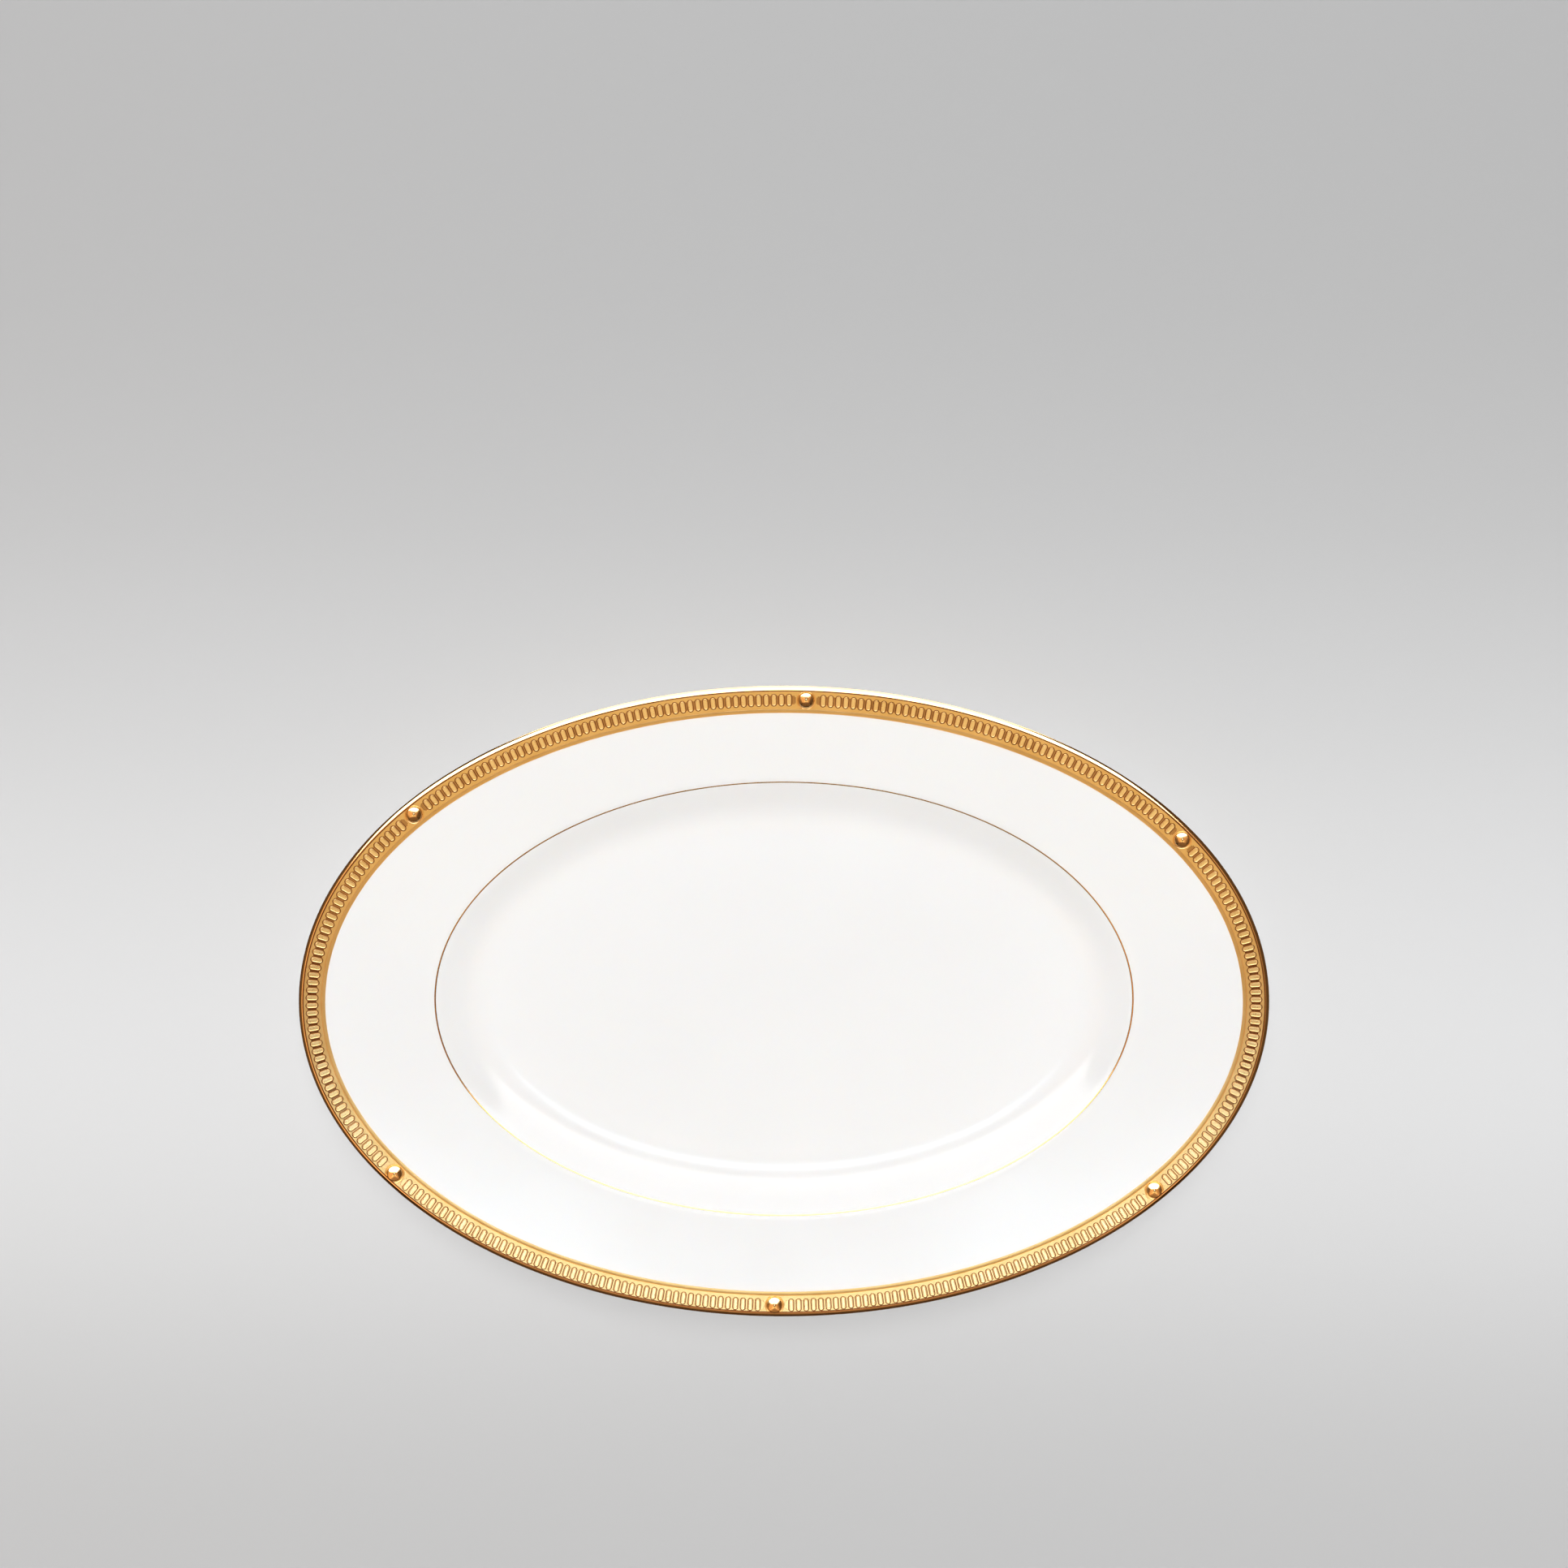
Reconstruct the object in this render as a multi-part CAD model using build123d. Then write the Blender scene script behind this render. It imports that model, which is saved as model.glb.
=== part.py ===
from build123d import *
import os
from math import cos, hypot, pi, radians, sin

os.makedirs("parts", exist_ok=True)

# Small oval serving platter in white china with a gilded edge, in millimetres.
# +X runs along the long axis, +Z is up, and the origin is the middle of the foot's resting plane.
#
# The platter is built from ellipses, called rings here. A Vector names a ring:
#   X  how far it lies inside the finished edge at the two ends
#   Y  how far it lies inside the finished edge at the two long sides
#   Z  its height above the table
# The rim is wider at the ends than at the sides, so X and Y differ away from the edge.

# ---- Overall size, over the gilding ----
overall_length = 216.0
overall_width = 140.4

# ---- Porcelain body: the corners of its profile, and how far each one is rounded ----
lip_height = 18.8
lip_radius = 1.15
band_end = Vector(5.9, 5.6, 17.85)
verge = Vector(29.65, 21.45, 13.0)
well_edge = Vector(36.65, 28.45, 6.3)
floor_edge = Vector(42.3, 34.1, 6.3)
heel = Vector(35.45, 27.45, 2.8)
under_edge = Vector(42.3, 34.1, 2.8)
rim_under = Vector(27.65, 19.65, 10.0)
verge_round = 1.9
cove_round = 5.2
heel_round = 0.7
rim_under_round = 4.0
lip_steps = 12
corner_steps = 6

# ---- Foot ring ----
foot_height = 2.8
foot_outer = Vector(36.4, 28.4, 0)
foot_width = 3.4
foot_taper = 0.35
foot_bevel = 0.35

# ---- Gilding ----
gilding = 0.15
crease = 0.12
strip_width = 0.85
groove = 0.10
verge_line_width = 0.45

# ---- Chain of links and beads on the gilded band ----
chain_distance = 1.81
sectors = 6
links_per_sector = 51
first_bead_arc = 42.1
bead_gap = 7.5
creep = 1.6
creep_middle = 90.0
link_width = 1.06
link_length = 2.50
link_rise = 0.16
bead_diameter = 3.5
bead_shoulder = (1.62, 0.40)
bead_tip = (0.35, 1.12)
bead_tip_round = 0.30


# ---- Rings and the solids between them ----
def ring(at):
    """The ellipse that a ring vector names."""
    half_length = overall_length / 2 - at.X
    half_width = overall_width / 2 - at.Y
    return Edge.make_ellipse(half_length, half_width, Plane((0, 0, at.Z)))


def strip(first, second):
    """The face between two rings: flat where they share a height, ruled where they don't."""
    if abs(first.Z - second.Z) < 1e-6:
        outer, inner = sorted((first, second), key=lambda at: at.X)
        return Face(Wire([ring(outer)]), [Wire([ring(inner)])])
    return Face.make_surface_from_curves(ring(first), ring(second))


def hoop(section):
    """A closed hoop whose cross-section is the polygon of ring vectors."""
    faces = [strip(first, second) for first, second in zip(section, section[1:] + section[:1])]
    return Solid(Shell(faces))


def capped(section):
    """A solid whose side follows the open line of ring vectors, closed by a flat face at each end."""
    faces = [strip(first, second) for first, second in zip(section, section[1:])]
    faces += [Face(Wire([ring(at)])) for at in (section[0], section[-1])]
    return Solid(Shell(faces))


def between(first, second, share):
    """The ring that lies a share of the way from the first to the second."""
    return first + (second - first) * share


def towards(start, goal, distance):
    """The ring at a distance from start on the way to goal, measured on the end profile."""
    leg = goal - start
    return start + leg * (distance / hypot(leg.X, leg.Z))


def even(steps):
    """Shares from 0 to 1 in even steps."""
    return [step / steps for step in range(steps + 1)]


def rounded(before, corner, after, reach, shares):
    """Rings on the parabola that rounds a corner, from reach before it to reach after it."""
    start = towards(corner, before, reach)
    end = towards(corner, after, reach)
    return [between(between(start, corner, t), between(corner, end, t), t) for t in shares]


def coat(rings, thickness):
    """A coat of one upright thickness on the strips between neighbouring rings."""
    top = [at + Vector(0, 0, thickness) for at in reversed(rings)]
    return hoop(rings + top)


# ---- The profile ----
lip_inset = gilding + lip_radius
lip_middle = lip_height - lip_radius
lip_angles = [-90 + 180 * share for share in even(lip_steps)]


def lip_ring(angle, radius):
    """A ring on the rolled lip: 0 degrees faces outwards and 90 straight up."""
    inset = lip_inset - radius * cos(radians(angle))
    return Vector(inset, inset, lip_middle + radius * sin(radians(angle)))


lip_rings = [lip_ring(angle, lip_radius) for angle in lip_angles]
lip_under = lip_rings[0]
lip_crest = lip_rings[-1]

verge_span = towards(verge, band_end, verge_round) - towards(verge, well_edge, verge_round)
line_share = verge_line_width / verge_span.length / 2
line_shares = [0.5 - line_share, 0.5 + line_share]
verge_shares = [0, 0.2, 0.35] + line_shares + [0.65, 0.8, 1]


def make_platter_body():
    """The one-piece porcelain shell: flat well, cove, rounded verge, sloping rim and rolled lip."""
    under = [under_edge]
    under += rounded(under_edge, heel, rim_under, heel_round, even(corner_steps))
    under += rounded(heel, rim_under, lip_under, rim_under_round, even(corner_steps))
    upper = [band_end]
    upper += rounded(band_end, verge, well_edge, verge_round, verge_shares)
    upper += rounded(verge, well_edge, floor_edge, cove_round, even(corner_steps))
    upper += [floor_edge]
    return capped(under + lip_rings + upper)


def make_foot_ring():
    """The low oval wall that the platter stands on, bevelled where it meets the table."""
    section = [
        (0, foot_height),
        (foot_taper, foot_bevel),
        (foot_taper + foot_bevel, 0),
        (foot_width - foot_taper - foot_bevel, 0),
        (foot_width - foot_taper, foot_bevel),
        (foot_width, foot_height),
    ]
    return hoop([foot_outer + Vector(inset, inset, height) for inset, height in section])


# ---- Gilding ----
band_width = hypot(band_end.X - lip_crest.X, band_end.Z - lip_crest.Z)


def on_band(distance):
    """The ring on the band's slope at a distance inwards from the crest of the lip."""
    return between(lip_crest, band_end, distance / band_width)


def make_rim_edge_gilding():
    """Burnished gold round the lip, from its crest over the edge and a little way underneath."""
    outside = [lip_ring(angle, lip_radius + gilding) for angle in reversed(lip_angles[1:])]
    return hoop(lip_rings[1:] + outside)


def make_band_ground():
    """The satin gold ground of the band."""
    return coat([on_band(crease), on_band(band_width - strip_width - groove)], gilding)


def make_inner_strip():
    """The plain gold strip that finishes the band on its inner side."""
    return coat([on_band(band_width - strip_width), band_end], gilding)


def make_verge_line():
    """The gold hairline on the shoulder between the rim and the well."""
    return coat(rounded(band_end, verge, well_edge, verge_round, line_shares), gilding)


# ---- Links and beads ----
lift = Vector(0, 0, gilding)
chain = ring(on_band(chain_distance) + lift)
chain_inside = ring(on_band(chain_distance + link_length / 2) + lift)
sector_arc = chain.length / sectors
link_pitch = (sector_arc - bead_gap) / (links_per_sector - 1)


def crept(arc):
    """Where a place on the chain came to lie: the transfer was laid by hand, and crept along the edge."""
    return arc - creep * cos(2 * pi * (arc - creep_middle) / chain.length)


def on_chain(arc):
    """A plane that touches the band on the chain's middle line: X along the chain and Y inwards."""
    share = (crept(arc) / chain.length) % 1
    along = chain % share
    inwards = chain_inside @ share - chain @ share
    return Plane(chain @ share, x_dir=along, z_dir=along.cross(inwards))


def make_link_row(first_arc):
    """One sector's raised pads, which have round ends and stand across the band."""
    pad = extrude(Rot(0, 0, 90) * SlotOverall(link_length, link_width), amount=link_rise)
    places = [on_chain(first_arc + link * link_pitch) for link in range(links_per_sector)]
    return Compound([place * pad for place in places])


def make_bead(arc):
    """A boss that stands on the band: a steep wall and a low cone with a rounded tip."""
    base = (bead_diameter / 2, 0)
    tip_radius, rise = bead_tip
    outline = Polyline((0, 0), base, bead_shoulder, (tip_radius, rise), (0, rise), close=True)
    boss = revolve(make_face(Plane.XZ * outline), Axis.Z)
    tip_edge = boss.edges().sort_by(Axis.Z)[-1]
    return on_chain(arc) * fillet(tip_edge, bead_tip_round)


# ---- Assembly ----
nodes = {
    "platter_body": make_platter_body(),
    "foot_ring": make_foot_ring(),
    "rim_edge_gilding": make_rim_edge_gilding(),
    "rim_band_ground": make_band_ground(),
    "rim_inner_strip": make_inner_strip(),
    "verge_line": make_verge_line(),
}
for sector in range(sectors):
    bead_arc = first_bead_arc + sector * sector_arc
    nodes[f"bead_{sector + 1}"] = make_bead(bead_arc)
    nodes[f"link_row_{sector + 1}"] = make_link_row(bead_arc + bead_gap / 2)

for name, shape in nodes.items():
    export_step(shape, f"parts/{name}.step")
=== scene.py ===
from math import cos, hypot, pi, radians, sin

import bmesh
import bpy
import numpy as np
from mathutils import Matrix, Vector


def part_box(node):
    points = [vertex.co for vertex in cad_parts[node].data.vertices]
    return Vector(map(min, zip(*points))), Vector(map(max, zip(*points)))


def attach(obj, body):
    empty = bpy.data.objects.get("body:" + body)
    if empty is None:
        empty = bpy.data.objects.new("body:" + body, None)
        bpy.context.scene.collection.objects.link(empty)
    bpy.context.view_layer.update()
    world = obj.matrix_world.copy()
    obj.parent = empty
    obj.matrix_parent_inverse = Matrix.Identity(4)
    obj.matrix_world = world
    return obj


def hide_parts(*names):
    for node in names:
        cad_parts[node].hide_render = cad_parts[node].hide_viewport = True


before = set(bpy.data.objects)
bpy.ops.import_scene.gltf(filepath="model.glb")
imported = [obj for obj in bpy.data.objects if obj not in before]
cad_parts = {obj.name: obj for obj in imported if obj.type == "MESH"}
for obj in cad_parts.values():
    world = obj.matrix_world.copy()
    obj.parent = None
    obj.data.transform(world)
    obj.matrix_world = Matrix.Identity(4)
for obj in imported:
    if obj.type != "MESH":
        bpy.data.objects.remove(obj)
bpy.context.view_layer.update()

# Small oval china platter. Shapes are worked out in millimetres in the row frame and turned into
# metres when a mesh is made. The origin is the middle of the foot's resting plane, and +X is the
# long axis. The gold is GILDING thick at the lip, and the lip, the ground, the strip and the hairline
# are all SUNK a little into the porcelain.
MM = 0.001

lip_low, lip_high = (np.array(corner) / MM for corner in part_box("rim_edge_gilding"))
HALF_LENGTH = (lip_high[0] - lip_low[0]) / 2
HALF_WIDTH = (lip_high[1] - lip_low[1]) / 2
GILDING = 0.15
SUNK = 0.05
LIP_TOP = lip_high[2] - GILDING

# The platter's profile: each corner is the ellipse (inset at the ends, inset at the sides, height).
LIP_RADIUS = 1.15
LIP_INSET = LIP_RADIUS + GILDING
LIP_MIDDLE = LIP_TOP - LIP_RADIUS
CREST = np.array([LIP_INSET, LIP_INSET, LIP_TOP])
BAND_END = np.array([5.9, 5.6, LIP_TOP - 0.95])
VERGE = np.array([29.65, 21.45, LIP_TOP - 5.8])
WELL_EDGE = np.array([36.65, 28.45, 6.3])
FLOOR_EDGE = np.array([42.3, 34.1, 6.3])
FLOOR_MIDDLE = np.array([HALF_LENGTH, HALF_WIDTH, 6.3])
UNDER_MIDDLE = np.array([HALF_LENGTH, HALF_WIDTH, 2.8])
UNDER_EDGE = np.array([42.3, 34.1, 2.8])
HEEL = np.array([35.45, 27.45, 2.8])
RIM_UNDER = np.array([27.65, 19.65, LIP_TOP - 8.8])
VERGE_ROUND = 1.9
COVE_ROUND = 5.2
HEEL_ROUND = 0.7
RIM_UNDER_ROUND = 4.0

# The gilded band, measured down its slope from the crest of the lip.
BAND_WIDTH = hypot(BAND_END[0] - CREST[0], BAND_END[2] - CREST[2])
STRIP_WIDTH = 0.85
GROOVE_WIDTH = 0.10
GROOVE_LEVEL = 0.02

LINE_WIDTH = 0.45

# The chain of links and beads. PATTERN_DROP is how far the whole decoration was laid off centre.
SECTORS = 6
LINKS = 51
CHAIN_DISTANCE = 1.81
PATTERN_DROP = 0.28
FIRST_BEAD_ARC = 42.1
BEAD_GAP = 7.5
CREEP = 1.6
CREEP_MIDDLE = 90.0
SEGMENTS = 640
BODY_SEGMENTS = 480
ARC_SAMPLES = 7200


# ---- Rings ----
def towards(start, goal, distance):
    """The ring at a distance from start on the way to goal, measured on the end profile."""
    leg = goal - start
    return start + leg * (distance / hypot(leg[0], leg[2]))


def rounded(before, corner, after, reach, shares):
    """Rings on the parabola that rounds a corner, from reach before it to reach after it."""
    t = np.asarray(shares)[..., None]
    start = towards(corner, before, reach)
    end = towards(corner, after, reach)
    return (1 - t) ** 2 * start + 2 * t * (1 - t) * corner + t**2 * end


def between(first, second, shares):
    """Rings at shares of the way from the first to the second."""
    t = np.asarray(shares)[..., None]
    return first + (second - first) * t


def even(steps):
    """Shares from 0 to 1 in even steps."""
    return np.linspace(0, 1, steps + 1)


def lip_arc(angles, radius):
    """Rings on the rolled lip: 0 degrees faces outwards and 90 straight up."""
    angle = np.radians(angles)
    inset = LIP_INSET - radius * np.cos(angle)
    return np.stack([inset, inset, LIP_MIDDLE + radius * np.sin(angle)], axis=-1)


def on_band(distance, lift=0.0):
    """The ring on the band's slope at a distance inwards from the crest, raised by lift."""
    ring = CREST + (BAND_END - CREST) * (distance / BAND_WIDTH)
    return ring + np.array([0, 0, lift])


def around(rings, segments=SEGMENTS):
    """The points of each ring, as an array of rings by segments by 3."""
    angle = np.linspace(0, 2 * pi, segments, endpoint=False)
    rings = np.asarray(rings)
    x = (HALF_LENGTH - rings[:, 0])[:, None] * np.cos(angle)
    y = (HALF_WIDTH - rings[:, 1])[:, None] * np.sin(angle)
    z = np.repeat(rings[:, 2][:, None], segments, axis=1)
    return np.stack([x, y, z], axis=-1)


# ---- Places on the band ----
# A place is (arc, across, height): the length along the chain's middle line, counter-clockwise
# from the +X end, the distance inwards from that line, and the height above the porcelain.
chain_ring = on_band(CHAIN_DISTANCE)
CHAIN_LENGTH, CHAIN_WIDTH = HALF_LENGTH - chain_ring[0], HALF_WIDTH - chain_ring[1]
SLOPE_COSINE = (BAND_END[0] - CREST[0]) / BAND_WIDTH

table_angle = np.linspace(0, 2 * pi, ARC_SAMPLES + 1)
table_steps = np.hypot(
    np.diff(CHAIN_LENGTH * np.cos(table_angle)), np.diff(CHAIN_WIDTH * np.sin(table_angle))
)
table_arc = np.concatenate([[0], np.cumsum(table_steps)])
PERIMETER = table_arc[-1]
SECTOR_ARC = PERIMETER / SECTORS
PITCH = (SECTOR_ARC - BEAD_GAP) / (LINKS - 1)


def plan_point(arc, across):
    """The place's point seen from above. The transfer was laid by hand, and crept along the edge."""
    crept = arc - CREEP * np.cos(2 * pi * (arc - CREEP_MIDDLE) / PERIMETER)
    angle = np.interp(crept % PERIMETER, table_arc, table_angle)
    outwards = np.stack([CHAIN_WIDTH * np.cos(angle), CHAIN_LENGTH * np.sin(angle)], axis=-1)
    outwards /= np.linalg.norm(outwards, axis=-1, keepdims=True)
    on_chain = np.stack([CHAIN_LENGTH * np.cos(angle), CHAIN_WIDTH * np.sin(angle)], axis=-1)
    plan = on_chain - outwards * (across * SLOPE_COSINE)[..., None]
    return plan - np.array([0, PATTERN_DROP])


def down_slope(plan):
    """How far down the band's slope a plan point lies, as a share of the slope, and its rates."""
    x, y = plan[..., 0], plan[..., 1]
    end_run, side_run = BAND_END[0] - CREST[0], BAND_END[1] - CREST[1]
    share = np.zeros_like(x)
    for _ in range(6):
        length = HALF_LENGTH - CREST[0] - share * end_run
        width = HALF_WIDTH - CREST[1] - share * side_run
        rate = 2 * x**2 * end_run / length**3 + 2 * y**2 * side_run / width**3
        share = share - ((x / length) ** 2 + (y / width) ** 2 - 1) / rate
    return share, -2 * x / length**2 / rate, -2 * y / width**2 / rate


def band_points(arc, across, height):
    """The points in space of places on the band."""
    plan = plan_point(arc, across)
    share, share_by_x, share_by_y = down_slope(plan)
    fall = BAND_END[2] - CREST[2]
    upwards = np.stack([-fall * share_by_x, -fall * share_by_y, np.ones_like(share)], axis=-1)
    upwards /= np.linalg.norm(upwards, axis=-1, keepdims=True)
    surface = np.concatenate([plan, (CREST[2] + share * fall)[..., None]], axis=-1)
    return surface + upwards * np.asarray(height)[..., None]


def find_outer_edge(arc):
    """How far across the crest of the lip lies from the chain's line, which varies with the drop."""
    across = np.full_like(arc, -CHAIN_DISTANCE)
    for _ in range(5):
        share = down_slope(plan_point(arc, across))[0]
        across = across - share * BAND_WIDTH
    return across


table_outer_edge = find_outer_edge(table_arc)
GROUND_INNER = BAND_WIDTH - STRIP_WIDTH - GROOVE_WIDTH - CHAIN_DISTANCE
STRIP_OUTER = BAND_WIDTH - STRIP_WIDTH - CHAIN_DISTANCE
STRIP_INNER = BAND_WIDTH - CHAIN_DISTANCE


def outer_edge(arc):
    """The across of the ground's outer edge at arc lengths."""
    return np.interp(arc % PERIMETER, table_arc, table_outer_edge)


def clamped(arc, across, margin):
    """Across, kept inside the ground by a margin."""
    return np.clip(across, outer_edge(arc) + margin, GROUND_INNER - margin)


# ---- Meshes ----
def new_piece(name, points, faces, materials, slots=None):
    """A smooth-shaded mesh object from points in millimetres."""
    mesh = bpy.data.meshes.new(name)
    mesh.from_pydata((np.asarray(points) * MM).tolist(), [], faces)
    mesh.validate()
    for material in materials:
        mesh.materials.append(material)
    if slots is not None:
        mesh.polygons.foreach_set("material_index", slots)
    mesh.shade_smooth()
    piece = bpy.data.objects.new(name, mesh)
    bpy.context.scene.collection.objects.link(piece)
    return piece


def grid_faces(rows, columns, closed_rows):
    """Quads between neighbouring rows of a grid that wraps round along its columns."""
    faces = []
    for row in range(rows if closed_rows else rows - 1):
        here = row * columns
        there = ((row + 1) % rows) * columns
        for column in range(columns):
            after = (column + 1) % columns
            faces.append((here + column, here + after, there + after, there + column))
    return faces


def hoop(name, grid, materials, slots=None):
    """A closed hoop from a grid of points, one row for each corner of its cross-section."""
    rows, columns = grid.shape[:2]
    faces = grid_faces(rows, columns, closed_rows=True)
    return new_piece(name, grid.reshape(-1, 3), faces, materials, slots)


def capped(name, grid, first_pole, last_pole, materials):
    """A closed shell from a grid of points, drawn together at a pole beyond each end."""
    rows, columns = grid.shape[:2]
    faces = grid_faces(rows, columns, closed_rows=False)
    points = np.vstack([grid.reshape(-1, 3), [first_pole, last_pole]])
    last_row = (rows - 1) * columns
    for column in range(columns):
        after = (column + 1) % columns
        faces.append((after, column, rows * columns))
        faces.append((last_row + column, last_row + after, rows * columns + 1))
    return new_piece(name, points, faces, materials)


def crisp(piece, angle=35):
    """Marks the edges that turn by more than an angle as sharp."""
    piece.data.set_sharp_from_angle(angle=radians(angle))


# ---- Materials ----
def material(name, colour, roughness, metallic=0.0):
    """A Principled material, with its node tree and shader to build on."""
    made = bpy.data.materials.new(name)
    made.use_nodes = True
    tree = made.node_tree
    shader = tree.nodes["Principled BSDF"]
    shader.inputs["Base Color"].default_value = (*colour, 1)
    shader.inputs["Roughness"].default_value = roughness
    shader.inputs["Metallic"].default_value = metallic
    return made, tree, shader


def noise(tree, scale, detail=3.0, roughness=0.5):
    """A noise texture in object space, in cycles per metre."""
    place = tree.nodes.new("ShaderNodeTexCoord")
    node = tree.nodes.new("ShaderNodeTexNoise")
    node.inputs["Scale"].default_value = scale
    node.inputs["Detail"].default_value = detail
    node.inputs["Roughness"].default_value = roughness
    tree.links.new(place.outputs["Object"], node.inputs["Vector"])
    return node.outputs["Fac"]


def remap(tree, value, low, high):
    """A value that runs from low to high as the noise runs over its middle range."""
    node = tree.nodes.new("ShaderNodeMapRange")
    node.inputs["From Min"].default_value = 0.3
    node.inputs["From Max"].default_value = 0.7
    node.inputs["To Min"].default_value = low
    node.inputs["To Max"].default_value = high
    tree.links.new(value, node.inputs["Value"])
    return node.outputs["Result"]


def blend_colours(tree, share, first, second):
    """A colour that runs from the first to the second with a share."""
    node = tree.nodes.new("ShaderNodeMix")
    node.data_type = "RGBA"
    node.inputs["A"].default_value = (*first, 1)
    node.inputs["B"].default_value = (*second, 1)
    tree.links.new(share, node.inputs["Factor"])
    return node.outputs["Result"]


def bump(tree, shader, height, distance, strength=1.0):
    """Adds relief to a shader from a height between 0 and 1."""
    node = tree.nodes.new("ShaderNodeBump")
    node.inputs["Distance"].default_value = distance
    node.inputs["Strength"].default_value = strength
    tree.links.new(height, node.inputs["Height"])
    tree.links.new(node.outputs["Normal"], shader.inputs["Normal"])


def make_porcelain():
    """Warm white china under a clear glaze that is very slightly uneven."""
    made, tree, shader = material("porcelain_glaze", (0.88, 0.876, 0.866), 0.08)
    tone = remap(tree, noise(tree, 28, 2), 0, 1)
    colour = blend_colours(tree, tone, (0.876, 0.870, 0.866), (0.888, 0.883, 0.880))
    tree.links.new(colour, shader.inputs["Base Color"])
    tree.links.new(remap(tree, noise(tree, 90, 2), 0.10, 0.16), shader.inputs["Roughness"])
    shader.inputs["Subsurface Weight"].default_value = 0.15
    shader.inputs["Subsurface Radius"].default_value = (0.0022, 0.0018, 0.0014)
    shader.inputs["Subsurface Scale"].default_value = 1.0
    shader.inputs["IOR"].default_value = 1.52
    shader.inputs["Specular IOR Level"].default_value = 0.32
    bump(tree, shader, noise(tree, 55, 1), 0.00012, 0.35)
    return made


def make_bisque():
    """The unglazed foot: matt, fine-grained and slightly greyed where it has been ground."""
    made, tree, shader = material("unglazed_foot", (0.72, 0.70, 0.66), 0.7)
    grain = noise(tree, 2600, 4, 0.6)
    colour = blend_colours(tree, remap(tree, grain, 0, 1), (0.66, 0.64, 0.60), (0.78, 0.765, 0.73))
    tree.links.new(colour, shader.inputs["Base Color"])
    tree.links.new(remap(tree, grain, 0.62, 0.8), shader.inputs["Roughness"])
    bump(tree, shader, grain, 0.00006, 0.6)
    return made


def make_gold(name, deep, light, rough, grain_scale, grain_depth):
    """Fired gold: its tone wanders from deep to light, and a fine grain varies its gloss.

    The grain's scale is in cycles per metre and its depth in metres."""
    made, tree, shader = material(name, light, rough[0], 1.0)
    wander = remap(tree, noise(tree, 160, 3), 0, 1)
    tree.links.new(blend_colours(tree, wander, deep, light), shader.inputs["Base Color"])
    grain = noise(tree, grain_scale, 3, 0.6)
    tree.links.new(remap(tree, grain, *rough), shader.inputs["Roughness"])
    bump(tree, shader, grain, grain_depth, 0.5)
    return made


porcelain = make_porcelain()
bisque = make_bisque()
burnished = make_gold(
    "burnished_gold", (0.86, 0.60, 0.29), (0.93, 0.69, 0.36), (0.08, 0.13), 900, 0.000006
)
bead_gold = make_gold(
    "bead_gold", (0.82, 0.56, 0.26), (0.90, 0.65, 0.33), (0.15, 0.19), 900, 0.000006
)
line_gold = make_gold(
    "line_gold", (0.60, 0.41, 0.15), (0.68, 0.48, 0.20), (0.14, 0.20), 900, 0.000004
)
satin = make_gold(
    "satin_gold", (0.80, 0.54, 0.21), (0.88, 0.62, 0.27), (0.29, 0.34), 4200, 0.000006
)
strip_gold = make_gold(
    "strip_gold", (0.76, 0.49, 0.18), (0.84, 0.56, 0.23), (0.29, 0.34), 3000, 0.000002
)
# A lighter copy of the satin gold: painted highlight on the raised links and on the rings round the
# beads.
lit_pad_gold = make_gold(
    "lit_pad_gold", (0.90, 0.68, 0.32), (0.96, 0.76, 0.40), (0.26, 0.34), 3000, 0.000002
)
# A darker copy of the satin gold: painted shade in the sunken bars between the links.
shaded_bar_gold = make_gold(
    "shaded_bar_gold", (0.42, 0.23, 0.09), (0.49, 0.28, 0.12), (0.12, 0.17), 3000, 0.000002
)
# A dark copy of the satin gold: painted shade in the grooves round the links and beads, and in the
# crease inside the lip.
shaded_recess_gold = make_gold(
    "shaded_recess_gold", (0.22, 0.085, 0.03), (0.30, 0.12, 0.045), (0.25, 0.35), 5000, 0.000006
)


# ---- Porcelain ----
def make_platter_body():
    """The one-piece porcelain shell, from the middle of the well over the lip to the underside."""
    rings = np.concatenate(
        [
            between(FLOOR_MIDDLE, FLOOR_EDGE, even(14)[1:]),
            rounded(FLOOR_EDGE, WELL_EDGE, VERGE, COVE_ROUND, even(18)),
            rounded(WELL_EDGE, VERGE, BAND_END, VERGE_ROUND, even(12)),
            between(towards(VERGE, BAND_END, VERGE_ROUND), CREST, even(14)[1:-1]),
            lip_arc(np.linspace(90, -90, 19), LIP_RADIUS),
            rounded(lip_arc(-90, LIP_RADIUS), RIM_UNDER, HEEL, RIM_UNDER_ROUND, even(12)),
            rounded(RIM_UNDER, HEEL, UNDER_EDGE, HEEL_ROUND, even(6)),
            between(UNDER_EDGE, UNDER_MIDDLE, even(10)[:-1]),
        ]
    )
    grid = around(rings, BODY_SEGMENTS)
    top_pole = (0, 0, FLOOR_MIDDLE[2])
    under_pole = (0, 0, UNDER_MIDDLE[2])
    piece = capped("porcelain_body", grid, top_pole, under_pole, [porcelain])
    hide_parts("platter_body")
    return piece


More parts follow.
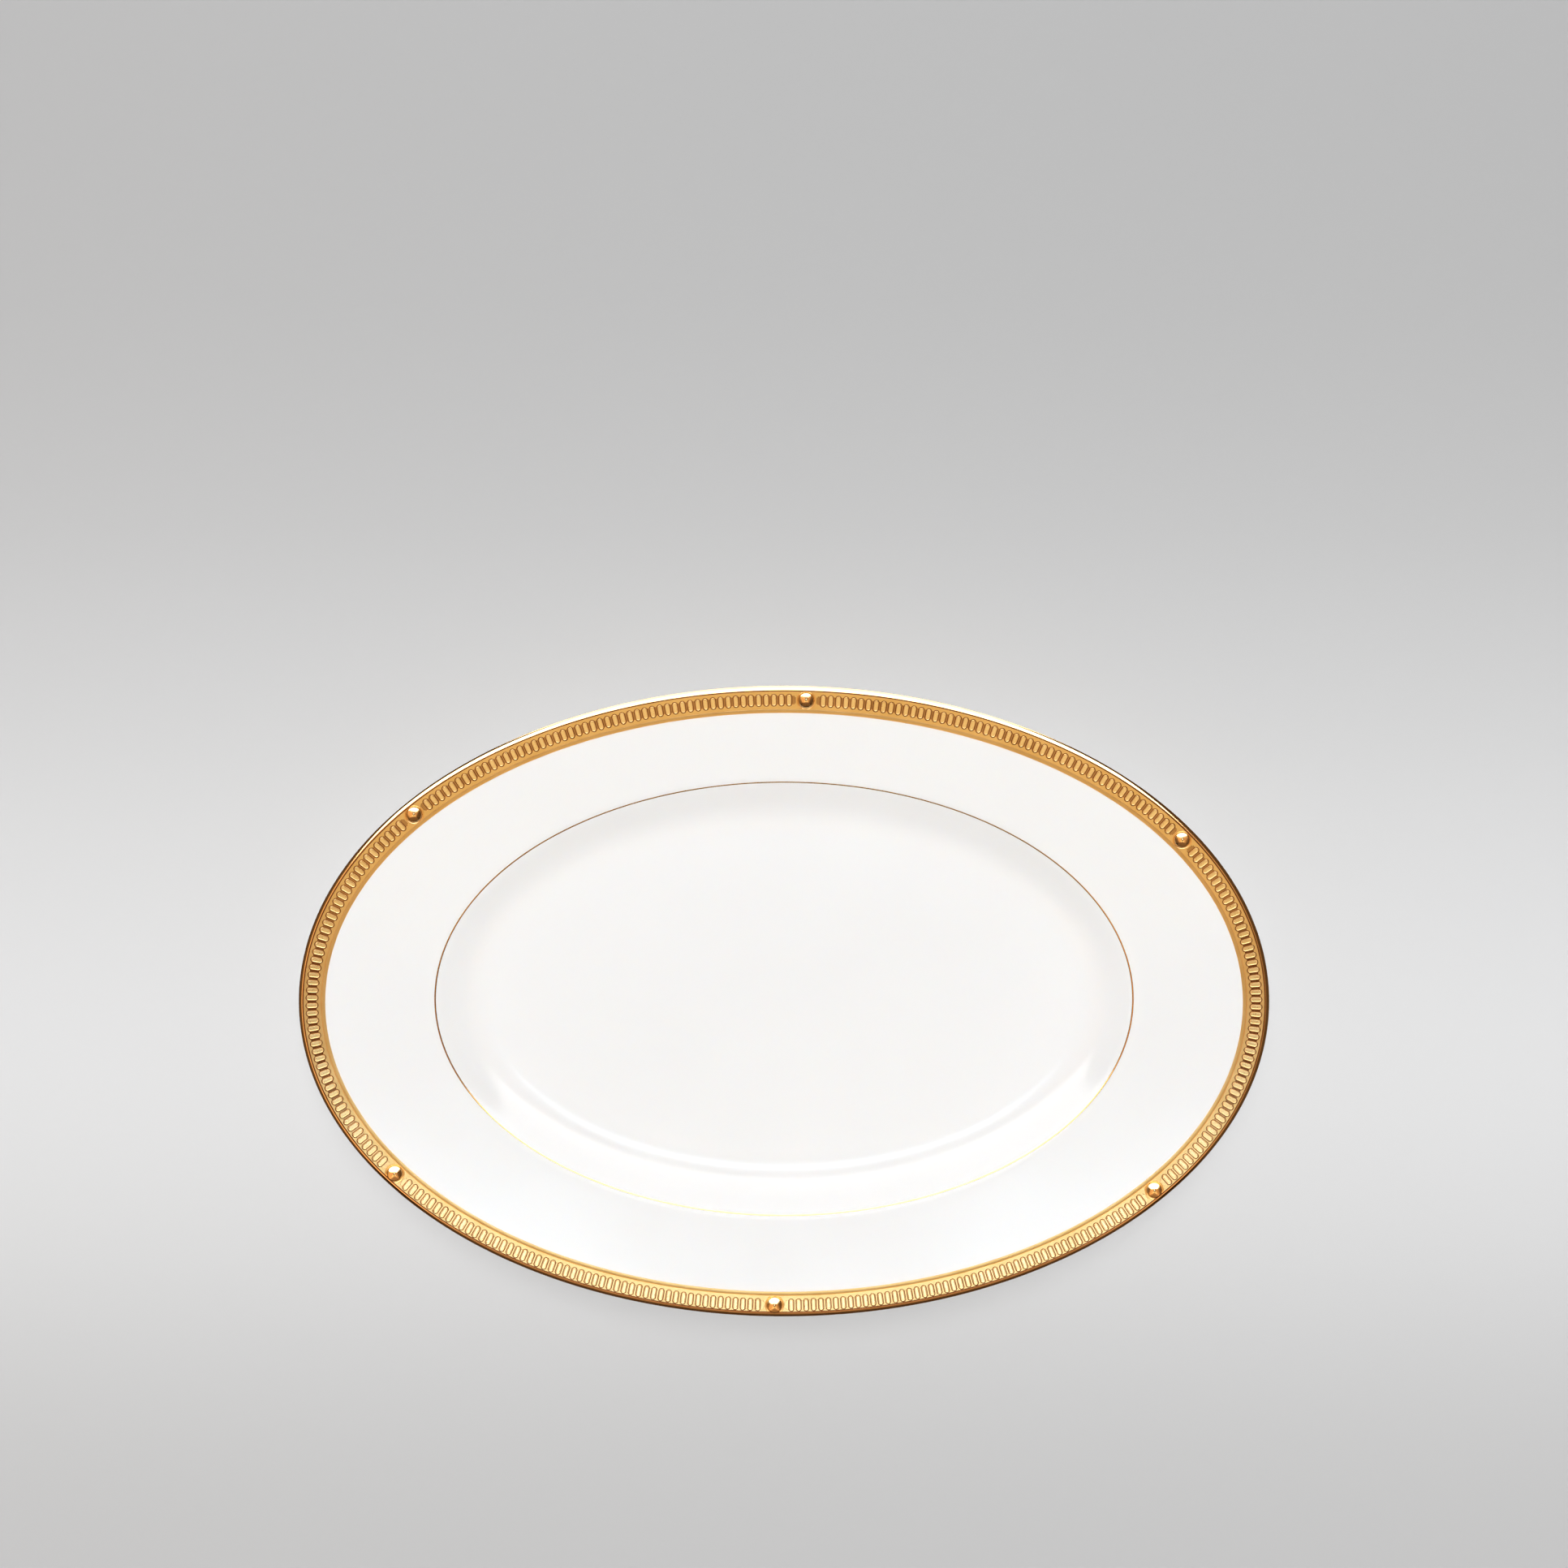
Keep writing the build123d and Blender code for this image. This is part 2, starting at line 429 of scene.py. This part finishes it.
def make_foot():
    """The foot ring: straight sides, and a sole that is rounded over at both edges."""
    _, foot_high = (np.array(corner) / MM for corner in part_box("foot_ring"))
    inset = HALF_LENGTH - foot_high[0]
    side_inset = HALF_WIDTH - foot_high[1]
    height = foot_high[2]
    width, taper, bevel = 3.4, 0.35, 0.35
    turn = np.radians(np.linspace(0, 90, 7))
    outer = np.stack([taper + bevel * (1 - np.cos(turn)), bevel * (1 - np.sin(turn))], axis=-1)
    inner = np.stack([width - outer[::-1, 0], outer[::-1, 1]], axis=-1)
    section = np.vstack([[[0, height]], outer, inner, [[width, height]]])
    rings = [(inset + across, side_inset + across, up) for across, up in section]
    piece = hoop("foot", around(rings, BODY_SEGMENTS), [bisque])
    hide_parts("foot_ring")
    return piece


# ---- Plain gilding ----
def make_lip_gilding():
    """Burnished gold over the lip, ending on top in the crease that sets off the band."""
    outer = lip_arc(np.linspace(-75, 78, 28), LIP_RADIUS + GILDING)
    crease = [
        lip_arc(80, LIP_RADIUS + 0.10),
        lip_arc(81, LIP_RADIUS + 0.03),
        lip_arc(88, LIP_RADIUS + 0.02),
        on_band(0.05, 0.02),
    ]
    back = [on_band(0.05, -SUNK)]
    inner = lip_arc(np.linspace(84, -75, 12), LIP_RADIUS - SUNK)
    rings = np.concatenate([outer, crease, back, inner])
    slot_of_row = np.zeros(len(rings), int)
    # The crease rows take the dark copy of the gold, as painted shade in the crease.
    slot_of_row[len(outer) - 1 : len(outer) + len(crease)] = 1
    slots = np.repeat(slot_of_row, SEGMENTS)
    piece = hoop("lip_gilding", around(rings), [burnished, shaded_recess_gold], slots)
    crisp(piece)
    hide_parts("rim_edge_gilding")
    return piece


def make_inner_strip():
    """The plain gold strip at the band's inner side, with the fine groove before it.

    Its section is in pairs of across and height, and laps a little under the ground's edge."""
    lap = 0.02
    section = [
        (GROUND_INNER - lap, GROOVE_LEVEL),
        (STRIP_OUTER - 0.02, GROOVE_LEVEL),
        (STRIP_OUTER + 0.01, 0.08),
        (STRIP_OUTER + 0.05, 0.094),
        (STRIP_INNER - 0.05, 0.082),
        (STRIP_INNER, 0.01),
        (STRIP_INNER, -SUNK),
        (GROUND_INNER - lap, -SUNK),
    ]
    arc = np.linspace(0, PERIMETER, SEGMENTS, endpoint=False)
    grid = np.array(
        [band_points(arc, np.full_like(arc, across), np.full_like(arc, up)) for across, up in section]
    )
    piece = hoop("inner_strip", grid, [strip_gold])
    crisp(piece)
    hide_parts("rim_inner_strip")
    return piece


def make_verge_line():
    """The burnished hairline on the shoulder, slightly domed across its width."""
    span = towards(VERGE, BAND_END, VERGE_ROUND) - towards(VERGE, WELL_EDGE, VERGE_ROUND)
    half_share = LINE_WIDTH / np.linalg.norm(span) / 2
    top = [(-1, 0.0), (-0.75, 0.022), (0, 0.034), (0.75, 0.022), (1, 0.0)]
    section = top + [(1, -SUNK), (-1, -SUNK)]
    shares = [0.5 + half_share * across for across, _ in section]
    rings = rounded(BAND_END, VERGE, WELL_EDGE, VERGE_ROUND, shares)
    rings[:, 2] += [up for _, up in section]
    piece = hoop("verge_hairline", around(rings), [line_gold])
    crisp(piece)
    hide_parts("verge_line")
    return piece


# ---- The chain's ground, links and beads ----
SATIN_LEVEL = 0.14
BAR_LEVEL = 0.07
STRAIGHT = 0.72
GROOVE_INSIDE, GROOVE_OUTSIDE = 0.48, 0.65
OUTLINE_RADIUS = 0.70
BAR_INSIDE, BAR_OUTSIDE = 0.93, 0.97
TAB_INSIDE, TAB_OUTSIDE = 0.68, 0.72
MIDWAY = 0.40
FAR = 9.0

# How far apart a bead's loops stay where the edge of the ground squeezes them together.
LOOP_GAP = 0.012

# The material slots of the ground: the satin, the painted shade of the grooves, the painted shade of the
# bars, and the painted highlight of the rings round the beads.
ON_SATIN, ON_RECESS, ON_BAR, ON_RING = range(4)

# The stations of one quadrant of a link's outline: up its straight side, then round its end.
STATION_FOOT = np.array([0, MIDWAY, TAB_INSIDE] + [STRAIGHT] * 6)
STATION_TURN = np.array(
    [0, 0, 0, 0]
    + [np.arcsin((level - STRAIGHT) / OUTLINE_RADIUS) for level in (BAR_INSIDE, BAR_OUTSIDE)]
    + [pi / 4, pi * 3 / 8, pi / 2]
)
SIDE_LEVELS = [0, MIDWAY, TAB_INSIDE, TAB_OUTSIDE, BAR_INSIDE, BAR_OUTSIDE, FAR]
LAST_BAR_STATION = SIDE_LEVELS.index(BAR_INSIDE)

# A loop of stations goes round from the middle of the right side, by way of the top.
QUARTER = len(STATION_FOOT) - 1
TOP, BOTTOM, LOOP = QUARTER, 3 * QUARTER, 4 * QUARTER
STATION_OF = [QUARTER - abs(QUARTER - i % (2 * QUARTER)) for i in range(LOOP)]


def mirrored(quadrant):
    """A closed loop from its first quadrant's points, mirrored into the other three."""
    quadrant = np.asarray(quadrant, float)
    along, across = np.array([-1, 1]), np.array([1, -1])
    return np.vstack(
        [quadrant, quadrant[-2::-1] * along, quadrant[1:] * along * across, quadrant[-2:0:-1] * across]
    )


def stadium(radius):
    """A link's outline at a radius from its spine."""
    x = radius * np.cos(STATION_TURN)
    return mirrored(np.stack([x, STATION_FOOT + radius * np.sin(STATION_TURN)], axis=-1))


class Patchwork:
    """Gathers places, faces and material slots, and turns them into one mesh on the band."""

    def __init__(self):
        self.places = []
        self.faces = []
        self.slots = []
        self.count = 0

    def add(self, centre, points, heights, margin=0.0):
        """Adds places round a centre on the chain, and returns the index of the first.

        They are kept inside the ground by the margin, unless it is None."""
        arc = centre + points[:, 0]
        across = clamped(arc, points[:, 1], margin) if margin is not None else points[:, 1]
        self.places.append(np.stack([arc, across, np.broadcast_to(heights, arc.shape)], axis=-1))
        first = self.count
        self.count += len(points)
        return first

    def face(self, corners, slot):
        """Adds a face between places, in a material slot."""
        self.faces.append(tuple(corners))
        self.slots.append(slot)

    def ribbon(self, inner, outer, count, slot_of):
        """Joins two loops of as many places, the outer one round the inner one."""
        for i in range(count):
            after = (i + 1) % count
            self.face((inner + i, outer + i, outer + after, inner + after), slot_of(i))

    def points(self):
        """All the places as points in space."""
        arc, across, height = np.vstack(self.places).T
        return band_points(arc, across, height)


def is_bar_side(i):
    """Whether the gap from one station of a link's loop to the next lies along a bar or its wall."""
    return max(STATION_OF[i], STATION_OF[(i + 1) % LOOP]) <= LAST_BAR_STATION + 1


def add_link_cell(ground, centre):
    """The ground round one link: the groove that outlines it, and half of the bar on each side."""
    stations = np.array(STATION_OF)
    level = np.where(stations <= LAST_BAR_STATION, BAR_LEVEL, SATIN_LEVEL)
    side = [(PITCH / 2, side_level) for side_level in SIDE_LEVELS]
    edge = mirrored(side + [(PITCH / 4, FAR), (0, FAR)])
    loops = [
        ground.add(centre, stadium(GROOVE_INSIDE), GROOVE_LEVEL),
        ground.add(centre, stadium(GROOVE_OUTSIDE), GROOVE_LEVEL),
        ground.add(centre, stadium(OUTLINE_RADIUS), level),
        ground.add(centre, edge, level),
    ]
    # The groove takes painted shade, and so do the sunken bars on either side.
    ground.face(range(loops[0], loops[0] + LOOP), ON_RECESS)
    ground.ribbon(loops[0], loops[1], LOOP, lambda i: ON_RECESS)
    ground.ribbon(loops[1], loops[2], LOOP, lambda i: ON_RECESS)
    ground.ribbon(loops[2], loops[3], LOOP, lambda i: ON_BAR if is_bar_side(i) else ON_SATIN)


def add_bead_cell(ground, centre):
    """The ground round one bead: the raised ring, and the last bar and its tab on each side."""
    half = (BEAD_GAP - PITCH) / 2
    block, tab_start, bar_start, wall = 2.24, 2.31, 2.57, 0.02
    side = [(block, level) for level in SIDE_LEVELS]
    across_top = [(block * share, FAR) for share in even(6)[-2::-1]]
    corner = radians(42)
    turns = np.concatenate([corner * even(6), corner + (pi / 2 - corner) * even(6)[1:]])
    circle = mirrored(np.stack([np.cos(turns), np.sin(turns)], axis=-1))
    count = len(circle)
    profile = [
        (1.60, GROOVE_LEVEL),
        (1.77, GROOVE_LEVEL),
        (1.92, 0.17),
        (1.98, 0.185),
        (2.05, 0.10),
        (2.11, 0.09),
        (2.16, SATIN_LEVEL),
    ]
    loops = []
    for order, (radius, height) in enumerate(profile):
        margin = LOOP_GAP * (len(profile) - order)
        loops.append(ground.add(centre, circle * radius, height, margin))
    loops.append(ground.add(centre, mirrored(side + across_top), SATIN_LEVEL))
    ground.face(range(loops[0], loops[0] + count), ON_RECESS)
    # The groove round the bead takes painted shade, and the raised ring a painted highlight.
    ring_slots = [ON_RECESS, ON_RING, ON_RING] + [ON_SATIN] * 4
    for inner, outer, slot in zip(loops, loops[1:], ring_slots):
        ground.ribbon(inner, outer, count, lambda i, slot=slot: slot)

    # The last bar and its tab on each side take painted shade.
    levels = np.array([-level for level in SIDE_LEVELS[:0:-1]] + SIDE_LEVELS)
    walls = [start + way * wall for start in (tab_start, bar_start) for way in (-1, 1)]
    columns = np.array([block, *walls, half])
    for x in (columns, -columns[::-1]):
        at_x, at_level = np.meshgrid(x, levels, indexing="ij")
        in_bar = (abs(at_x) > bar_start) & (abs(at_level) < BAR_OUTSIDE)
        in_tab = (abs(at_x) > tab_start) & (abs(at_level) < TAB_OUTSIDE)
        low = (in_bar | in_tab).ravel()
        points = np.stack([at_x.ravel(), at_level.ravel()], axis=-1)
        first = ground.add(centre, points, np.where(low, BAR_LEVEL, SATIN_LEVEL))
        rows = len(levels)
        for column in range(len(x) - 1):
            for row in range(rows - 1):
                here = column * rows + row
                corners = (here, here + rows, here + rows + 1, here + 1)
                slot = ON_BAR if low[list(corners)].any() else ON_SATIN
                ground.face((first + corner for corner in corners), slot)


def close_sheet(mesh, depth):
    """Turns a sheet with two borders into a solid, by a wall down from each and a floor between."""
    shape = bmesh.new()
    shape.from_mesh(mesh)
    bmesh.ops.remove_doubles(shape, verts=shape.verts, dist=2e-6)
    borders = [edge for edge in shape.edges if edge.is_boundary]
    walls = bmesh.ops.extrude_edge_only(shape, edges=borders)
    lower = [item for item in walls["geom"] if isinstance(item, bmesh.types.BMVert)]
    bmesh.ops.translate(shape, verts=lower, vec=(0, 0, -depth * MM))
    rims = [edge for edge in shape.edges if edge.is_boundary]
    bmesh.ops.bridge_loops(shape, edges=rims)
    bmesh.ops.recalc_face_normals(shape, faces=shape.faces)
    shape.to_mesh(mesh)
    shape.free()


def make_band_ground():
    """The satin ground of the band, with a groove round each link and a ring round each bead."""
    ground = Patchwork()
    for sector in range(SECTORS):
        bead_arc = FIRST_BEAD_ARC + sector * SECTOR_ARC
        add_bead_cell(ground, bead_arc)
        for link in range(LINKS):
            add_link_cell(ground, bead_arc + BEAD_GAP / 2 + link * PITCH)
    # The grooves and bars take darker copies of the gold as painted shade, and the bead rings a lighter
    # copy as a painted highlight.
    gold = [satin, shaded_recess_gold, shaded_bar_gold, lit_pad_gold]
    piece = new_piece("band_ground", ground.points(), ground.faces, gold, ground.slots)
    close_sheet(piece.data, SATIN_LEVEL + SUNK)
    crisp(piece)
    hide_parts("rim_band_ground")
    return piece


def add_link(row, centre):
    """One link: a pad with rounded shoulders, a narrow raised border and three ribs along it."""
    profile = [
        (0.53, 0.0),
        (0.52, 0.15),
        (0.50, 0.22),
        (0.47, 0.262),
        (0.43, 0.272),
        (0.39, 0.258),
        (0.36, 0.225),
    ]
    loops = [row.add(centre, stadium(radius), height, None) for radius, height in profile]
    row.face(range(loops[0] + LOOP - 1, loops[0] - 1, -1), 0)
    for inner, outer in zip(loops[1:], loops):
        row.ribbon(inner, outer, LOOP, lambda i: 0)

    rib, dip = 0.246, 0.225
    rib_height = np.array([rib, dip, rib, dip, rib])
    rib_shares = np.array([-2, -1, 0, 1, 2]) / 3
    right = [*range(BOTTOM + 1, LOOP), *range(TOP)]
    left = [*range(BOTTOM - 1, TOP, -1)]
    border = stadium(profile[-1][0])
    rungs = []
    for right_index, left_index in zip(right, left):
        half = border[right_index, 0]
        points = np.stack([half * rib_shares, np.full(len(rib_shares), border[right_index, 1])], axis=-1)
        first = row.add(centre, points, rib_height, None)
        middle = range(first, first + len(rib_shares))
        rungs.append([loops[-1] + left_index, *middle, loops[-1] + right_index])
    steps = range(len(rib_shares) + 1)
    for lower, upper in zip(rungs, rungs[1:]):
        for i in steps:
            row.face((lower[i], lower[i + 1], upper[i + 1], upper[i]), 0)
    for i in steps:
        row.face((rungs[0][i], loops[-1] + BOTTOM, rungs[0][i + 1]), 0)
        row.face((rungs[-1][i], rungs[-1][i + 1], loops[-1] + TOP), 0)


def make_link_row(sector):
    """One sector's links."""
    row = Patchwork()
    for link in range(LINKS):
        add_link(row, FIRST_BEAD_ARC + sector * SECTOR_ARC + BEAD_GAP / 2 + link * PITCH)
    # The links take the lighter copy of the gold, a painted highlight.
    piece = new_piece(f"links_{sector + 1}", row.points(), row.faces, [lit_pad_gold])
    crisp(piece)
    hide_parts(f"link_row_{sector + 1}")
    return piece


def make_bead(sector):
    """A low cone with a domed tip and a steep foot, standing square to the band."""
    foot = [(1.71, 0.0), (1.71, 0.16), (1.69, 0.25), (1.64, 0.33), (1.56, 0.40)]
    cone = [(1.44, 0.475), (1.26, 0.575), (1.08, 0.672), (0.90, 0.766)]
    dome_turn = np.radians([25, 21, 17, 13, 9, 6, 3])
    top, dome_radius = 1.01, 1.6
    dome = [(dome_radius * sin(turn), top - dome_radius * (1 - cos(turn))) for turn in dome_turn]
    profile = foot + cone + dome
    arc = np.array([FIRST_BEAD_ARC + sector * SECTOR_ARC])
    centre, along, above = (
        band_points(arc + step, np.zeros(1), np.array([height]))[0]
        for step, height in ((0, 0), (0.5, 0), (0, 1))
    )
    up = Vector(above - centre).normalized()
    x_axis = Vector(along - centre).normalized()
    y_axis = up.cross(x_axis)
    turn = np.linspace(0, 2 * pi, 96, endpoint=False)
    wheel = np.outer(np.cos(turn), x_axis) + np.outer(np.sin(turn), y_axis)
    grid = np.array([centre + wheel * radius + np.array(up) * height for radius, height in profile])
    tip = centre + np.array(up) * top
    piece = capped(f"bead_boss_{sector + 1}", grid[::-1], tip, centre, [bead_gold])
    crisp(piece)
    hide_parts(f"bead_{sector + 1}")
    return piece


pieces = [
    make_platter_body(),
    make_foot(),
    make_lip_gilding(),
    make_inner_strip(),
    make_verge_line(),
    make_band_ground(),
]
for sector in range(SECTORS):
    pieces.append(make_link_row(sector))
    pieces.append(make_bead(sector))
for piece in pieces:
    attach(piece, "root")


# ---- Stage ----
# The floor's painted light from near to far, palest under the platter and darker in front of it and
# behind it, in pairs of Y in metres and tone.
FLOOR_PAINTED_LIGHT = [
    (-1.200, 0.90),
    (-0.250, 0.51),
    (-0.180, 0.505),
    (-0.130, 0.513),
    (-0.095, 0.548),
    (-0.060, 0.653),
    (-0.015, 0.739),
    (0.040, 0.641),
    (0.075, 0.561),
    (0.110, 0.475),
    (0.160, 0.405),
    (0.230, 0.379),
    (0.300, 0.375),
    (0.400, 0.42),
    (1.500, 0.90),
]


def make_floor():
    """A pale floor with painted light in its tone along Y: palest under the platter, darker a little way
    in front of it and behind it, and paler again far off.
    """
    made, tree, shader = material("studio_floor", (0.6, 0.6, 0.6), 0.6)
    place = tree.nodes.new("ShaderNodeTexCoord")
    split = tree.nodes.new("ShaderNodeSeparateXYZ")
    tree.links.new(place.outputs["Object"], split.inputs["Vector"])
    first, last = FLOOR_PAINTED_LIGHT[0][0], FLOOR_PAINTED_LIGHT[-1][0]
    share = tree.nodes.new("ShaderNodeMapRange")
    share.inputs["From Min"].default_value = first
    share.inputs["From Max"].default_value = last
    tree.links.new(split.outputs["Y"], share.inputs["Value"])
    ramp = tree.nodes.new("ShaderNodeValToRGB")
    ramp.color_ramp.interpolation = "B_SPLINE"
    stops = ramp.color_ramp.elements
    while len(stops) < len(FLOOR_PAINTED_LIGHT):
        stops.new(0.5)
    for stop, (y, tone) in zip(stops, FLOOR_PAINTED_LIGHT):
        stop.position = (y - first) / (last - first)
        stop.color = (tone, tone * 1.015, tone * 1.035, 1)
    tree.links.new(share.outputs["Result"], ramp.inputs["Fac"])
    tree.links.new(ramp.outputs["Color"], shader.inputs["Base Color"])
    half = 20.0
    mesh = bpy.data.meshes.new("floor")
    corners = [(-half, -half, 0), (half, -half, 0), (half, half, 0), (-half, half, 0)]
    mesh.from_pydata(corners, [], [(0, 1, 2, 3)])
    mesh.materials.append(made)
    floor = bpy.data.objects.new("floor", mesh)
    bpy.context.scene.collection.objects.link(floor)
    floor.visible_glossy = False


def area_light(name, place, size, radiance, colour, target=(0, 0, 0)):
    """A rectangle of light that faces a point, as bright as its radiance says."""
    data = bpy.data.lights.new(name, "AREA")
    data.shape = "RECTANGLE"
    data.size, data.size_y = size
    data.energy = radiance * pi * size[0] * size[1]
    data.color = colour
    light = bpy.data.objects.new(name, data)
    bpy.context.scene.collection.objects.link(light)
    light.location = place
    direction = Vector(target) - light.location
    light.rotation_euler = direction.to_track_quat("-Z", "Y").to_euler()
    light.visible_camera = False
    return light


def reflector(*arguments, **options):
    """A card that shows only as a reflection in the gold and the glaze."""
    card = area_light(*arguments, **options)
    card.visible_diffuse = False
    card.data.use_shadow = False


def lamp(*arguments, shadow=False):
    """A softbox that lights surfaces but isn't seen reflected in them.

    One without shadows skips importance sampling too, which would let the platter hide part of it."""
    softbox = area_light(*arguments)
    softbox.visible_glossy = False
    softbox.data.use_shadow = shadow
    softbox.data.cycles.use_multiple_importance_sampling = shadow


NEUTRAL = (1.0, 1.0, 1.0)
COOL = (0.72, 0.93, 1.10)
WARM = (1.0, 0.84, 0.52)
TAN = (1.0, 0.57, 0.28)
BROWN = (1.0, 0.56, 0.30)
IVORY = (1.0, 0.965, 0.90)
FILL_SIZE = (1.2, 0.8)


def make_lights():
    """Soft light from above and all round, and the cards that the gold reflects.

    Each has a name, a place and a size in metres, a radiance and a colour."""
    lamp("main", (0, 0.42, 1.35), (0.6, 0.6), 4.8, NEUTRAL, shadow=True)
    lamp("near_fill", (0, -1.0, 1.0), FILL_SIZE, 1.75, IVORY)
    lamp("far_fill", (0, 1.0, 1.0), FILL_SIZE, 0.90, NEUTRAL)
    lamp("left_fill", (-1.3, 0, 0.55), FILL_SIZE, 1.7, NEUTRAL)
    lamp("right_fill", (1.3, 0, 0.55), FILL_SIZE, 1.7, NEUTRAL)
    far_low_target = (-0.20, 0, 0.184)
    reflector("far_low", (-0.20, 1.014, 0.674), (2.6, 1.26), 4.4, NEUTRAL, target=far_low_target)
    reflector("far_high", (0, 0.23, 1.43), (0.25, 0.33), 4.6, COOL)
    reflector("far_under", (0, 1.0, -0.5), (1.1, 1.3), 2.2, NEUTRAL)
    reflector("near_high", (0, -0.60, 1.35), (1.5, 0.62), 0.82, WARM)
    reflector("near_low", (0, -1.20, 0.80), (2.2, 1.2), 0.22, BROWN)
    reflector("left_high", (-0.90, 0, 1.24), (2.4, 1.08), 0.88, TAN)
    reflector("right_high", (0.80, 0, 1.30), (2.4, 0.85), 0.55, TAN)
    reflector("left_low", (-1.30, 0, 0.45), (2.4, 1.0), 0.17, BROWN)
    reflector("right_low", (1.30, 0, 0.45), (2.4, 1.0), 0.12, BROWN)
    reflector("ceiling", (0, 0, 1.5), (4, 4), 0.19, BROWN)
    reflector("ground", (0, 0, -0.1), (2.4, 2.4), 0.11, BROWN)


def make_world():
    """An even pale studio, which the gold and the glaze don't reflect."""
    world = bpy.data.worlds.new("studio")
    bpy.context.scene.world = world
    world.use_nodes = True
    background = world.node_tree.nodes["Background"]
    background.inputs["Color"].default_value = (0.98, 0.99, 1.0, 1)
    background.inputs["Strength"].default_value = 0.40
    world.cycles_visibility.glossy = False


def make_camera():
    """A normal lens that looks straight down, from above the far half of the platter."""
    height_above_lip, towards_far_edge = 0.4837, 0.0483
    data = bpy.data.cameras.new("camera")
    data.lens = 50
    data.sensor_width = 36
    data.clip_start = 0.01
    camera = bpy.data.objects.new("camera", data)
    bpy.context.scene.collection.objects.link(camera)
    camera.location = (0, towards_far_edge, LIP_TOP * MM + height_above_lip)
    bpy.context.scene.camera = camera


make_floor()
make_world()
make_camera()
make_lights()
bpy.context.scene.view_settings.view_transform = "Standard"
